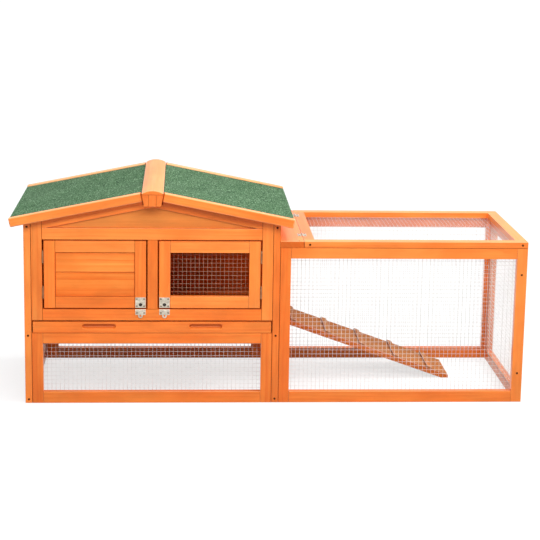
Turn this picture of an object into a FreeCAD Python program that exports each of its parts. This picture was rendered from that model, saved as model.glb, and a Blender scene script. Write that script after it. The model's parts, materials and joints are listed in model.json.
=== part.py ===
import FreeCAD, Part
import os
import re

import Sketcher

# A two storey wooden hutch with a covered run, in millimetres.
# Working axes start at the front left foot of the house: X to the right, Y to the back, Z up.
# Every sub-part is then moved so that the origin lies under the middle of the whole hutch.

DIMENSIONS = {
    # House and run, outside
    "house_width": 766,
    "house_depth": 488,
    "run_length": 751.5,
    # Timber sections
    "side_thick": 21,
    "frame_thick": 20,
    "stile_width": 33,
    "centre_stile": 31,
    "back_stile": 40,
    "foot_rail": 35,
    "panel_gap": 0.5,
    "wall_board": 10,
    # Lower storey, tray level and upper storey
    "lower_height": 219.5,
    "lower_top_rail": 32.5,
    "tray_height": 35.2,
    "tray_play": 0.3,
    "tray_slit": 3.5,
    "upper_rail": 35.5,
    "door_opening": 213,
    "top_rail": 35,
    "sill_rise": 20.5,
    # Doors
    "door_gap": 3,
    "door_side_gap": 3.5,
    "door_thick": 18,
    "door_stile": 34,
    "door_rail": 36,
    "door_board": 9,
    "door_board_inset": 3.5,
    "door_board_height": 74,
    # Tray
    "tray_side_play": 3,
    "tray_front_thick": 18,
    "tray_base_thick": 4,
    "tray_wall": 12,
    "tray_wall_height": 12,
    "tray_wall_inset": 1.5,
    "tray_back_play": 2,
    "groove_length": 102,
    "groove_height": 12.4,
    "groove_depth": 9,
    "groove_spread": 160.5,
    "groove_rise": 20,
    "runner_width": 20,
    "runner_height": 20,
    # Roof
    "roof_angle": 11.4,
    "rafter_width": 36.5,
    "gable_inset": 11,
    "gable_thick": 8,
    "roof_board": 10,
    "felt_thick": 3,
    "fascia_proud": 5,
    "fascia_height": 28,
    "fascia_thick": 18,
    "eave_overhang": 41,
    "roof_front": 28,
    "roof_back": 46,
    "ridge_beam": 22,
    "ridge_batten": 21,
    "ridge_height": 35,
    "ridge_reach": 8,
    "ridge_seat": 0.2,
    "cap_edge": 4,
    "cap_crown": 9,
    "cap_lip": 1,
    # Run and its lid
    "run_stile": 32,
    "run_rail": 33,
    "hinge_board": 70,
    "lid_thick": 19,
    "lid_rail": 33,
    "lid_rest": 0.3,
    "lid_slit": 1,
    "eave_gap": 44.9,
    # Ramp
    "ramp_hinge_drop": 27,
    "ramp_foot_gap": 156.8,
    "ramp_thick": 16,
    "ramp_width": 170,
    "ramp_back_gap": 72,
    "ramp_gap": 3,
    "ramp_tip": 9,
    "cleat_thick": 6,
    "cleat_width": 18,
    "cleat_first": 55,
    "cleat_last": 75,
    # Doorways inside the house
    "doorway_play": 4,
    "partition_back": 78,
    "partition_door": 140,
    "partition_door_height": 165,
    # Wire mesh
    "mesh_thick": 1.2,
    "mesh_lap": 8,
    "mesh_pitch": 12.7,
    "mesh_fit": 0.2,
    # Butt hinges
    "hinge_length": 38,
    "leaf_width": 14,
    "leaf_thick": 1,
    "barrel_radius": 2,
    "pin_radius": 1,
    "running_fit": 0.05,
    "hinge_clear": 0.3,
    "knuckle_play": 0.2,
    "door_hinge_inset": 49,
    "lid_hinge_inset": 94,
    "ramp_hinge_inset": 35,
    # Hasps
    "hasp_width": 31,
    "plate_thick": 1.2,
    "plate_height": 32,
    "plate_rise": 1.5,
    "hasp_leaf_height": 13,
    "hasp_drop": 2,
    "strap_width": 14,
    "strap_end": 3.7,
    "strap_clear": 0.5,
    "slot_clear": 1.1,
    "knob_rise": 16,
    "knob_neck": 1.8,
    "knob_blade_thick": 2.4,
    "knob_blade_height": 6,
    "knob_blade_depth": 5.4,
    "knob_clear": 0.7,
    # Screws
    "screw_head": 3.4,
    "screw_proud": 0.8,
    "screw_shank": 1.8,
    "screw_length": 28,
    "screw_foot": 12,
    "screw_below_top": 20,
    "screw_inset": 17,
    "run_screw_rise": 92,
    "run_screw_drop": 82,
}

# Places and sizes that follow from the ones above
DERIVED = {
    "house_mid": "house_width / 2",
    "origin_x": "(house_width + panel_gap + run_length - eave_overhang) / 2",
    "origin_y": "(house_depth + roof_back - roof_front) / 2",
    "inner_left": "side_thick + panel_gap",
    "inner_right": "house_width - side_thick - panel_gap",
    "opening_left": "inner_left + stile_width",
    "opening_right": "inner_right - stile_width",
    "back_left": "inner_left + back_stile",
    "back_right": "inner_right - back_stile",
    "back_face": "house_depth - frame_thick",
    "post_front": "stile_width",
    "post_back": "house_depth - stile_width",
    "right_side": "house_width - side_thick",
    "lower_open": "lower_height - lower_top_rail",
    "tray_low": "lower_height + tray_play",
    "tray_top": "tray_low + tray_height",
    "upper_low": "tray_top + tray_slit",
    "door_sill": "upper_low + upper_rail",
    "door_head": "door_sill + door_opening",
    "rail_top": "door_head + top_rail",
    "rafter_drop": "rafter_width / cos(roof_angle)",
    "gable_corner": "opening_left + gable_inset",
    "wall_height": "rail_top + rafter_drop - tan(roof_angle) * gable_corner",
    "wall_top": "wall_height - ridge_seat",
    "stile_top": "wall_height + tan(roof_angle) * inner_left - ridge_seat",
    "side_rail_low": "wall_top - top_rail",
    "sill_top": "lower_height + sill_rise",
    "ridge_under": "wall_height + tan(roof_angle) * house_mid",
    "felt_top": "roof_board + felt_thick",
    "fascia_top": "felt_top + fascia_proud",
    "eave_run": "(house_mid + eave_overhang - fascia_top * sin(roof_angle)) / cos(roof_angle)",
    "beam_half": "ridge_beam / 2",
    "batten_run": "(beam_half + ridge_seat + ridge_batten - felt_top * sin(roof_angle)) / cos(roof_angle)",
    "ridge_top": "ridge_under - batten_run * sin(roof_angle) + felt_top * cos(roof_angle)",
    "ridge_low": "ridge_top - ridge_height",
    "batten_foot": "(ridge_low - ridge_under + batten_run * sin(roof_angle)) / cos(roof_angle)",
    "notch_half": "batten_run * cos(roof_angle) + ridge_seat",
    "notch_top": "ridge_low - ridge_seat",
    "panel_run": "batten_run + ridge_seat",
    "felt_front": "fascia_thick - roof_front",
    "felt_back": "house_depth + roof_back - fascia_thick",
    "ridge_front": "0 - roof_front - ridge_reach",
    "ridge_back": "house_depth + roof_back + ridge_reach",
    "cap_width": "2 * (beam_half + ridge_seat + ridge_batten)",
    "crown_radius": "(cap_width * cap_width / 4 + cap_crown * cap_crown) / (2 * cap_crown)",
    "fascia_foot": "fascia_top - fascia_height",
    "fascia_low": "ridge_under - eave_run * sin(roof_angle) + fascia_foot * cos(roof_angle)",
    "run_height": "fascia_low - eave_gap - lid_thick - lid_rest",
    "run_left": "house_width + panel_gap",
    "run_right": "run_left + run_length",
    "run_end": "run_right - frame_thick",
    "run_open": "run_height - run_rail",
    "lid_low": "run_height + lid_rest",
    "lid_top": "lid_low + lid_thick",
    "lid_left": "run_left + hinge_board + lid_slit",
    "hinge_seat": "barrel_radius + hinge_clear",
    "hinge_front": "0 - hinge_seat",
    "hinge_gap": "2 * hinge_seat",
    "leaf_start": "barrel_radius + hinge_clear",
    "door_low": "door_sill + door_gap",
    "door_top": "door_head - door_gap",
    "left_door_in": "opening_left + hinge_gap",
    "left_door_out": "house_mid - centre_stile / 2 - door_side_gap",
    "right_door_in": "opening_right - hinge_gap",
    "right_door_out": "house_mid + centre_stile / 2 + door_side_gap",
    "hasp_axis": "door_sill - hasp_drop",
    "hasp_front": "0 - max(hinge_seat; plate_thick * 1.5 + strap_clear)",
    "left_hasp": "left_door_out - door_stile / 2",
    "right_hasp": "right_door_out + door_stile / 2",
    "knob_height": "hasp_axis + knob_rise",
    "knob_reach": "plate_thick / 2 + knob_clear + knob_blade_depth",
    "knob_top": "knob_rise + knob_blade_height / 2",
    "strap_slot_near": "knob_rise - knob_blade_height / 2 - slot_clear",
    "strap_slot_far": "sqrt(knob_top * knob_top + knob_reach * knob_reach) + slot_clear",
    "strap_slot_width": "2 * knob_neck + 2 * strap_clear",
    "strap_reach": "strap_slot_far + strap_end",
    "ramp_axis": "house_width + hinge_seat",
    "ramp_hinge_height": "sill_top - ramp_hinge_drop",
    "ramp_ground": "run_end - ramp_foot_gap - ramp_axis",
    "ramp_slope": "atan((ramp_hinge_height - ramp_tip) / ramp_ground)",
    "ramp_far": "house_depth - ramp_back_gap",
    "ramp_near": "ramp_far - ramp_width",
    "ramp_top_end": "(ramp_hinge_height - hinge_seat * cos(ramp_slope) - ramp_tip) / sin(ramp_slope)",
    "ramp_under": "hinge_seat + ramp_thick",
    "partition_front": "back_face - partition_back - partition_door",
    "left_mesh_top": "min(lower_open + mesh_lap; lower_height - runner_height - panel_gap)",
    "ramp_flat": "(ramp_hinge_height - ramp_under * cos(ramp_slope)) / sin(ramp_slope)",
    "ramp_cut": "(ramp_gap - hinge_seat + hinge_seat * sin(ramp_slope)) / cos(ramp_slope)",
    "ramp_cut_under": "(ramp_gap - hinge_seat + ramp_under * sin(ramp_slope)) / cos(ramp_slope)",
}

WALL_COURSES = 4
DOORWAY_COURSES = 3
CLEAT_COUNT = 5
MOST_GAPS = 280

doc = FreeCAD.newDocument("hutch")
sheet = doc.addObject("Spreadsheet::Sheet", "dims")
for row, (word, size) in enumerate(DIMENSIONS.items(), start=1):
    sheet.set(f"A{row}", word)
    sheet.set(f"B{row}", str(size))
    sheet.setAlias(f"B{row}", word)
doc.recompute()

nodes = []
net_frames = []


def formula(words):
    """Turn a size in words into a sheet formula: each known word becomes its cell or its own formula."""

    def swap(match):
        word = match.group(0)
        if word in DERIVED:
            return "(" + formula(DERIVED[word]) + ")"
        if word in DIMENSIONS:
            return "dims." + word
        return word

    return re.sub(r"[a-z_]+", swap, words)


def bind(item, prop, words):
    item.setExpression(prop, formula(words))


def place(item, x, y, z):
    for axis, words in zip("xyz", (x, y, z)):
        bind(item, "Placement.Base." + axis, words)


def board(name, x, y, z):
    """A rectangular piece between a low and a high face on each axis."""
    item = doc.addObject("Part::Box", name)
    for side, (low, high) in zip(("Length", "Width", "Height"), (x, y, z)):
        bind(item, side, f"({high}) - ({low})")
    place(item, x[0], y[0], z[0])
    return item


def rod(name, radius, length, x, y, z, turn=FreeCAD.Rotation()):
    """A round piece that starts at a point and runs along Z, or along Z turned."""
    item = doc.addObject("Part::Cylinder", name)
    item.Placement = FreeCAD.Placement(FreeCAD.Vector(), turn)
    bind(item, "Radius", radius)
    bind(item, "Height", length)
    place(item, x, y, z)
    return item


def fuse(name, pieces):
    item = doc.addObject("Part::MultiFuse", name)
    item.Shapes = pieces
    return item


def cut(name, base, tool):
    item = doc.addObject("Part::Cut", name)
    item.Base = base
    item.Tool = tool
    return item


def prism(name, points, y):
    """A piece whose outline is drawn in X and Z and runs from a front to a back face."""
    body = doc.addObject("PartDesign::Body", name)
    plane = next(item for item in body.Origin.OriginFeatures if item.Role == "XZ_Plane")
    sketch = body.newObject("Sketcher::SketchObject", name + "_outline")
    sketch.AttachmentSupport = [(plane, "")]
    sketch.MapMode = "FlatFace"
    count = len(points)
    rough = [FreeCAD.Vector(0, 100, 0)]
    step = FreeCAD.Rotation(FreeCAD.Vector(0, 0, 1), 360 / count)
    for _ in points[1:]:
        rough.append(step.multVec(rough[-1]))
    for corner in range(count):
        sketch.addGeometry(Part.LineSegment(rough[corner], rough[(corner + 1) % count]))
    for corner in range(count):
        sketch.addConstraint(Sketcher.Constraint("Coincident", corner, 2, (corner + 1) % count, 1))
    for corner, pair in enumerate(points):
        for kind, start, words in zip(("DistanceX", "DistanceY"), (rough[corner].x, rough[corner].y), pair):
            index = sketch.addConstraint(Sketcher.Constraint(kind, -1, 1, corner, 1, start))
            label = f"{kind}_{corner}"
            sketch.renameConstraint(index, label)
            bind(sketch, "Constraints." + label, words)
    pad = body.newObject("PartDesign::Pad", name + "_pad")
    pad.Profile = sketch
    pad.Reversed = True
    bind(pad, "Length", f"({y[1]}) - ({y[0]})")
    place(body, "0", y[0], "0")
    return body


def node(label, pieces):
    """One sub-part of the hutch, moved from the working axes to the origin under its middle."""
    group = doc.addObject("Part::Compound", label)
    group.Label = label
    group.Links = pieces
    place(group, "0 - origin_x", "0 - origin_y", "0")
    nodes.append(group)


def net(label, x, y, z):
    """Room for a wire panel, which is cut to gaps once the sizes are known."""
    net_frames.append((label, board(label + "_room", x, y, z)))


def courses(name, axis_x, axis_y, low, high, count):
    """Boards laid one on another, sharing the height evenly."""
    step = f"(({high}) - ({low})) / {count}"
    seams = [f"({low}) + {row} * {step}" for row in range(count + 1)]
    return [board(f"{name}_{row}", axis_x, axis_y, (seams[row], seams[row + 1])) for row in range(count)]


# Side panels of the house: posts and rails, boarded above, mesh or open below

def side_frame(name, low_x, high_x, rails):
    posts = [
        board(name + "_front_post", (low_x, high_x), ("0", "post_front"), ("0", "wall_top")),
        board(name + "_back_post", (low_x, high_x), ("post_back", "house_depth"), ("0", "wall_top")),
    ]
    cross = [
        board(f"{name}_rail_{row}", (low_x, high_x), ("post_front", "post_back"), span)
        for row, span in enumerate(rails)
    ]
    return posts + cross


foot_span = ("0", "foot_rail")
lower_rail_span = ("lower_open", "lower_height")
side_top_span = ("side_rail_low", "wall_top")
board_in = "(side_thick - wall_board) / 2"

node("left_side_frame", side_frame("left", "0", "side_thick", [foot_span, lower_rail_span, side_top_span]))
node("left_wall_boards", courses(
    "left_board", (board_in, f"{board_in} + wall_board"), ("post_front", "post_back"),
    "lower_height", "side_rail_low", WALL_COURSES))
net("left_side_mesh", ("side_thick", "side_thick + mesh_thick"),
    ("post_front - mesh_lap", "post_back + mesh_lap"), ("foot_rail - mesh_lap", "left_mesh_top"))

node("right_side_frame", side_frame(
    "right", "right_side", "house_width", [("lower_open", "sill_top"), side_top_span]))
right_boards = (f"right_side + {board_in}", f"right_side + {board_in} + wall_board")
doorway_near = "ramp_near - doorway_play"
doorway_far = "ramp_far + doorway_play"
doorway_head = f"sill_top + {DOORWAY_COURSES} * (side_rail_low - sill_top) / {WALL_COURSES}"
node("right_wall_boards", [
    *courses("right_front_board", right_boards, ("post_front", doorway_near), "sill_top", "side_rail_low",
             WALL_COURSES),
    *courses("right_back_board", right_boards, (doorway_far, "post_back"), "sill_top", "side_rail_low",
             WALL_COURSES),
    board("right_head_board", right_boards, (doorway_near, doorway_far), (doorway_head, "side_rail_low")),
])

# Front of the house: an upper frame round the two doors and a lower frame with mesh

front_span = ("0", "frame_thick")
between_stiles = ("opening_left", "opening_right")
centre_span = ("house_mid - centre_stile / 2", "house_mid + centre_stile / 2")
node("upper_front_frame", [
    board("upper_left_stile", ("inner_left", "opening_left"), front_span, ("upper_low", "stile_top")),
    board("upper_right_stile", ("opening_right", "inner_right"), front_span, ("upper_low", "stile_top")),
    board("upper_bottom_rail", between_stiles, front_span, ("upper_low", "door_sill")),
    board("upper_top_rail", between_stiles, front_span, ("door_head", "rail_top")),
    board("upper_centre_stile", centre_span, front_span, ("door_sill", "door_head")),
])
node("lower_front_frame", [
    board("lower_left_stile", ("inner_left", "opening_left"), front_span, ("0", "lower_height")),
    board("lower_right_stile", ("opening_right", "inner_right"), front_span, ("0", "lower_height")),
    board("lower_bottom_rail", between_stiles, front_span, foot_span),
    board("lower_top_rail_board", between_stiles, front_span, lower_rail_span),
])
net("lower_front_mesh", ("opening_left - mesh_lap", "opening_right + mesh_lap"),
    ("frame_thick", "frame_thick + mesh_thick"), ("foot_rail - mesh_lap", "lower_open + mesh_lap"))

# Back of the house: boards above, mesh below

back_span = ("back_face", "house_depth")
back_rails = ("back_left", "back_right")
back_boards = ("back_face + (frame_thick - wall_board) / 2", "back_face + (frame_thick + wall_board) / 2")
node("back_frame", [
    board("back_left_stile", ("inner_left", "back_left"), back_span, ("0", "stile_top")),
    board("back_right_stile", ("back_right", "inner_right"), back_span, ("0", "stile_top")),
    board("back_bottom_rail", back_rails, back_span, foot_span),
    board("back_middle_rail", back_rails, back_span, lower_rail_span),
    board("back_top_rail", back_rails, back_span, ("door_head", "rail_top")),
    board("back_centre_stile", centre_span, back_span, ("lower_height", "door_head")),
])
node("back_wall_boards", [
    *courses("back_left_board", ("back_left", centre_span[0]), back_boards, "lower_height", "door_head",
             WALL_COURSES),
    *courses("back_right_board", (centre_span[1], "back_right"), back_boards, "lower_height", "door_head",
             WALL_COURSES),
])
net("lower_back_mesh", ("back_left - mesh_lap", "back_right + mesh_lap"),
    ("back_face - mesh_thick", "back_face"), ("foot_rail - mesh_lap", "lower_open + mesh_lap"))

# Gables: sloping rafters notched under the ridge, and a thin panel between them

SIDES = {"left": "-", "right": "+"}


def rafter(name, sign, outer, y):
    """A rafter from a stile to the middle of the house, its top edge under the roof boards."""
    def across(words):
        return f"house_mid {sign} ({words})"

    def under(words):
        return f"ridge_under - tan(roof_angle) * ({words})"

    start = f"house_mid - {outer}"
    corner = f"house_mid - {outer} - gable_inset"
    points = [
        (across(start), "rail_top"),
        (across(corner), "rail_top"),
        (across("ridge_seat / 2"), "ridge_under - rafter_drop"),
        (across("ridge_seat / 2"), "notch_top"),
        (across("notch_half"), "notch_top"),
        (across("notch_half"), under("notch_half") + " - ridge_seat"),
        (across(start), under(start) + " - ridge_seat"),
    ]
    return prism(name, points, y)


def gable(end, y, panel_y, outer):
    rafters = [rafter(f"{end}_{side}_rafter", sign, outer, y) for side, sign in SIDES.items()]
    node(f"{end}_gable_rafters", rafters)
    half = f"house_mid - {outer} - gable_inset - panel_gap"
    node(f"{end}_gable_panel", [prism(f"{end}_gable_board", [
        (f"house_mid - ({half})", "rail_top"),
        (f"house_mid + ({half})", "rail_top"),
        ("house_mid", "ridge_under - rafter_drop - ridge_seat"),
    ], panel_y)])


def middle(low, high):
    """Front and back faces of a gable panel, in the middle of its frame."""
    centre = f"({low} + {high}) / 2"
    return (f"{centre} - gable_thick / 2", f"{centre} + gable_thick / 2")


gable("front", front_span, middle(*front_span), "opening_left")
gable("back", back_span, middle(*back_span), "back_left")

# Tray runners on the side panels, and the board partition between the two rooms

runner_y = ("frame_thick + mesh_thick + panel_gap", "back_face - mesh_thick - panel_gap")
runner_z = ("lower_height - runner_height", "lower_height")
node("tray_runners", [
    board("left_runner", ("side_thick", "side_thick + runner_width"), runner_y, runner_z),
    board("right_runner", ("right_side - runner_width", "right_side"), runner_y, runner_z),
])
partition_x = ("house_mid - wall_board / 2", "house_mid + wall_board / 2")
node("partition_boards", [
    board("partition_front_board", partition_x, ("frame_thick", "partition_front"),
          ("upper_low", "rail_top")),
    board("partition_head_board", partition_x, ("partition_front", "partition_front + partition_door"),
          ("upper_low + partition_door_height", "rail_top")),
    board("partition_back_board", partition_x, ("partition_front + partition_door", "back_face"),
          ("upper_low", "rail_top")),
])

# Roof: ridge beam with a batten on each side, boards, felt, fascias and a crowned cap


def roof_point(sign, run, rise):
    """A point on a roof slope: its distance down from the ridge and its height off the underside."""
    x = f"house_mid {sign} (({run}) * cos(roof_angle) + ({rise}) * sin(roof_angle))"
    z = f"ridge_under - ({run}) * sin(roof_angle) + ({rise}) * cos(roof_angle)"
    return (x, z)


def roof_layer(name, sign, low, high, y):
    corners = [("panel_run", low), ("eave_run", low), ("eave_run", high), ("panel_run", high)]
    return prism(name, [roof_point(sign, run, rise) for run, rise in corners], y)


ridge_y = ("ridge_front", "ridge_back")
felt_y = ("felt_front", "felt_back")
node("ridge_beam", [board("ridge_beam_board", ("house_mid - beam_half", "house_mid + beam_half"), ridge_y,
                          ("ridge_low", "ridge_top"))])
node("ridge_battens", [
    prism(f"{side}_ridge_batten", [
        (f"house_mid {sign} (beam_half + ridge_seat)", "ridge_low"),
        (f"house_mid {sign} (beam_half + ridge_seat)", "ridge_top"),
        roof_point(sign, "batten_run", "felt_top"),
        roof_point(sign, "batten_run", "batten_foot"),
    ], ridge_y)
    for side, sign in SIDES.items()
])
for side, sign in SIDES.items():
    node(f"{side}_roof_board", [roof_layer(f"{side}_deck", sign, "0", "roof_board", felt_y)])
    node(f"{side}_roof_felt", [roof_layer(f"{side}_felt", sign, "roof_board", "felt_top", felt_y)])
    node(f"{side}_fascias", [
        roof_layer(f"{side}_front_fascia", sign, "fascia_foot", "fascia_top",
                   ("0 - roof_front", "felt_front")),
        roof_layer(f"{side}_back_fascia", sign, "fascia_foot", "fascia_top",
                   ("felt_back", "house_depth + roof_back")),
    ])

along_y = FreeCAD.Rotation(FreeCAD.Vector(1, 0, 0), -90)
cap_y = ("ridge_front - cap_lip", "ridge_back + cap_lip")
cap_blank = board("cap_blank", ("house_mid - cap_width / 2", "house_mid + cap_width / 2"), cap_y,
                  ("ridge_top", "ridge_top + cap_edge + cap_crown"))
cap_round = rod("cap_round", "crown_radius", "ridge_back - ridge_front + 2 * cap_lip", "house_mid",
                cap_y[0], "ridge_top + cap_edge + cap_crown - crown_radius", along_y)
cap = doc.addObject("Part::Common", "crowned_cap")
cap.Base = cap_blank
cap.Tool = cap_round
node("ridge_cap", [cap])

# Run: front, back and end frames with mesh, and the fixed board that carries the lid


def run_frame(name, y):
    return [
        board(name + "_left_stile", ("run_left", "run_left + run_stile"), y, ("0", "run_height")),
        board(name + "_right_stile", ("run_right - run_stile", "run_right"), y, ("0", "run_height")),
        board(name + "_bottom_rail", run_between, y, foot_span),
        board(name + "_top_rail", run_between, y, ("run_open", "run_height")),
    ]


run_between = ("run_left + run_stile", "run_right - run_stile")
run_mesh_x = ("run_left + run_stile - mesh_lap", "run_right - run_stile + mesh_lap")
run_mesh_z = ("foot_rail - mesh_lap", "run_open + mesh_lap")
node("run_front_frame", run_frame("run_front", front_span))
net("run_front_mesh", run_mesh_x, ("frame_thick", "frame_thick + mesh_thick"), run_mesh_z)
node("run_back_frame", run_frame("run_back", back_span))
net("run_back_mesh", run_mesh_x, ("back_face - mesh_thick", "back_face"), run_mesh_z)

end_x = ("run_end", "run_right")
end_near = "frame_thick + run_stile"
end_far = "back_face - run_stile"
node("run_end_frame", [
    board("run_end_front_stile", end_x, ("frame_thick", end_near), ("0", "run_height")),
    board("run_end_back_stile", end_x, (end_far, "back_face"), ("0", "run_height")),
    board("run_end_bottom_rail", end_x, (end_near, end_far), foot_span),
    board("run_end_top_rail", end_x, (end_near, end_far), ("run_open", "run_height")),
])
net("run_end_mesh", ("run_end - mesh_thick", "run_end"),
    (f"{end_near} - mesh_lap", f"{end_far} + mesh_lap"), run_mesh_z)
node("run_hinge_board", [board("run_hinge_plank", ("run_left", "run_left + hinge_board"),
                               ("0", "house_depth"), ("run_height", "lid_top"))])

# Lid of the run

lid_z = ("lid_low", "lid_top")
lid_near = "lid_rail"
lid_far = "house_depth - lid_rail"
node("lid_frame", [
    board("lid_front_rail", ("lid_left", "run_right"), ("0", lid_near), lid_z),
    board("lid_back_rail", ("lid_left", "run_right"), (lid_far, "house_depth"), lid_z),
    board("lid_left_rail", ("lid_left", "lid_left + lid_rail"), (lid_near, lid_far), lid_z),
    board("lid_right_rail", ("run_right - lid_rail", "run_right"), (lid_near, lid_far), lid_z),
])
net("lid_mesh", ("lid_left + lid_rail + mesh_fit", "run_right - lid_rail - mesh_fit"),
    (f"{lid_near} + mesh_fit", f"{lid_far} - mesh_fit"),
    ("lid_low + mesh_thick", "lid_low + 2 * mesh_thick"))

# Doors: mortised frames, one filled with boards and one with mesh

door_y = ("0", "door_thick")


def door_frame(side, low, high):
    rails_x = (f"{low} + door_stile", f"{high} - door_stile")
    node(f"{side}_door_frame", [
        board(f"{side}_door_low_stile", (low, rails_x[0]), door_y, ("door_low", "door_top")),
        board(f"{side}_door_high_stile", (rails_x[1], high), door_y, ("door_low", "door_top")),
        board(f"{side}_door_bottom_rail", rails_x, door_y, ("door_low", "door_low + door_rail")),
        board(f"{side}_door_top_rail", rails_x, door_y, ("door_top - door_rail", "door_top")),
    ])
    return rails_x


left_panel_x = door_frame("left", "left_door_in", "left_door_out")
left_board_y = ("door_board_inset", "door_board_inset + door_board")
left_seam = "door_low + door_rail + door_board_height"
node("left_door_boards", [
    board("left_door_lower_board", left_panel_x, left_board_y, ("door_low + door_rail", left_seam)),
    board("left_door_upper_board", left_panel_x, left_board_y, (left_seam, "door_top - door_rail")),
])
right_window_x = door_frame("right", "right_door_out", "right_door_in")
net("right_door_mesh", (f"{right_window_x[0]} - mesh_lap", f"{right_window_x[1]} + mesh_lap"),
    ("door_thick", "door_thick + mesh_thick"),
    ("door_low + door_rail - mesh_lap", "door_top - door_rail + mesh_lap"))

# Pull-out tray: a front board with two finger grooves, a base and low walls


def finger_groove(name, centre):
    half = "(groove_length - groove_height) / 2"
    radius = "groove_height / 2"
    height = "tray_low + groove_rise"
    ends = [
        rod(f"{name}_end_{sign}", radius, "groove_depth", f"{centre} {sign} {half}", "0", height, along_y)
        for sign in "-+"
    ]
    middle_part = board(f"{name}_middle", (f"{centre} - {half}", f"{centre} + {half}"),
                        ("0", "groove_depth"), (f"{height} - {radius}", f"{height} + {radius}"))
    return fuse(name, [middle_part, *ends])


tray_left = "inner_left - panel_gap + tray_side_play"
tray_right = "inner_right + panel_gap - tray_side_play"
tray_back = "back_face - tray_back_play"
tray_base_top = "tray_low + tray_base_thick"
tray_blank = board("tray_blank", (tray_left, tray_right), ("0", "tray_front_thick"),
                   ("tray_low", "tray_top"))
grooves = fuse("finger_grooves", [finger_groove("left_groove", "house_mid - groove_spread"),
                                  finger_groove("right_groove", "house_mid + groove_spread")])
node("tray_front", [cut("tray_front_board", tray_blank, grooves)])
base_left = f"{tray_left} + tray_wall_inset"
base_right = f"{tray_right} - tray_wall_inset"
base_y = ("tray_front_thick", tray_back)
wall_z = (tray_base_top, f"{tray_base_top} + tray_wall_height")
node("tray_base", [board("tray_base_board", (base_left, base_right), base_y, ("tray_low", tray_base_top))])
node("tray_walls", [
    board("tray_left_wall", (base_left, f"{base_left} + tray_wall"), base_y, wall_z),
    board("tray_right_wall", (f"{base_right} - tray_wall", base_right), base_y, wall_z),
    board("tray_back_wall", (f"{base_left} + tray_wall", f"{base_right} - tray_wall"),
          (f"{tray_back} - tray_wall", tray_back), wall_z),
])

# Ramp: a plank from the doorway sill to the ground, its foot cut level, with cleats across it


def ramp_point(run, rise):
    """A point on the ramp: its distance down the slope from the hinge pin and its height above it."""
    x = f"ramp_axis + ({run}) * cos(ramp_slope) + ({rise}) * sin(ramp_slope)"
    z = f"ramp_hinge_height - ({run}) * sin(ramp_slope) + ({rise}) * cos(ramp_slope)"
    return (x, z)


ramp_y = ("ramp_near", "ramp_far")
top_face = "0 - hinge_seat"
foot_tip = ramp_point("ramp_top_end", top_face)
node("ramp_board", [prism("ramp_plank", [
    ramp_point("ramp_cut", top_face),
    foot_tip,
    (foot_tip[0], "0"),
    (ramp_point("ramp_flat", "0 - ramp_under")[0], "0"),
    ramp_point("ramp_cut_under", "0 - ramp_under"),
], ramp_y)])
cleats = []
for count in range(CLEAT_COUNT):
    run = f"cleat_first + {count} * (ramp_top_end - cleat_first - cleat_last) / {CLEAT_COUNT - 1}"
    cleats.append(prism(f"ramp_cleat_{count}", [
        ramp_point(run, top_face),
        ramp_point(f"{run} + cleat_width", top_face),
        ramp_point(f"{run} + cleat_width", f"{top_face} + cleat_thick"),
        ramp_point(run, f"{top_face} + cleat_thick"),
    ], ramp_y))
node("ramp_cleats", cleats)

# Butt hinges: each leaf is drawn with its pin along Z and its plate along X, then turned into place

THIRD = "hinge_length / 6"


def hinge_leaf(name, seat_side, outer, turn):
    """A leaf whose plate lies against a face on one side of the pin, with the end or middle knuckles."""
    half = "hinge_length / 2"
    if outer:
        spans = [(f"0 - {half}", f"0 - {THIRD}"), (THIRD, half)]
    else:
        spans = [(f"0 - {THIRD} + knuckle_play", f"{THIRD} - knuckle_play")]
    plate_y = ("0 - hinge_seat", "leaf_thick - hinge_seat")
    if seat_side > 0:
        plate_y = ("hinge_seat - leaf_thick", "hinge_seat")
    pieces = [board(name + "_plate", ("leaf_start", "leaf_width"), plate_y, (f"0 - {half}", half))]
    for index, (low, high) in enumerate(spans):
        pieces.append(board(f"{name}_tab_{index}", ("0", "leaf_start"), plate_y, (low, high)))
        pieces.append(rod(f"{name}_knuckle_{index}", "barrel_radius", f"({high}) - ({low})", "0", "0", low))
    bore = rod(name + "_bore", "pin_radius + running_fit", "hinge_length", "0", "0", f"0 - {half}")
    leaf = cut(name, fuse(name + "_blank", pieces), bore)
    leaf.Placement = FreeCAD.Placement(FreeCAD.Vector(), turn)
    return leaf


X_AXIS = FreeCAD.Vector(1, 0, 0)
Z_AXIS = FreeCAD.Vector(0, 0, 1)
upright = FreeCAD.Rotation(Z_AXIS, 90)
lying = FreeCAD.Rotation(X_AXIS, 90)
lying_back = FreeCAD.Rotation(FreeCAD.Vector(0, 1, 1), 180)
standing = FreeCAD.Rotation(FreeCAD.Vector(1, 1, 1), -120)

fixed_leaves = []
pins = []
pin_half = "hinge_length / 2"


def door_hinges(side, axis_x, fixed_side):
    """Two hinges in the gap beside a door, their knuckles just proud of the front."""
    moving = []
    for rank, centre in (("low", "door_low + door_hinge_inset"), ("high", "door_top - door_hinge_inset")):
        fixed = hinge_leaf(f"{side}_{rank}_fixed_leaf", fixed_side, True, upright)
        swing = hinge_leaf(f"{side}_{rank}_door_leaf", -fixed_side, False, upright)
        for leaf in (fixed, swing):
            place(leaf, axis_x, "hinge_front", centre)
        fixed_leaves.append(fixed)
        moving.append(swing)
        pins.append(rod(f"{side}_{rank}_pin", "pin_radius", "hinge_length", axis_x, "hinge_front",
                        f"{centre} - {pin_half}"))
    node(f"{side}_door_leaves", moving)


door_hinges("left", "opening_left + hinge_seat", 1)
door_hinges("right", "opening_right - hinge_seat", -1)

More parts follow.
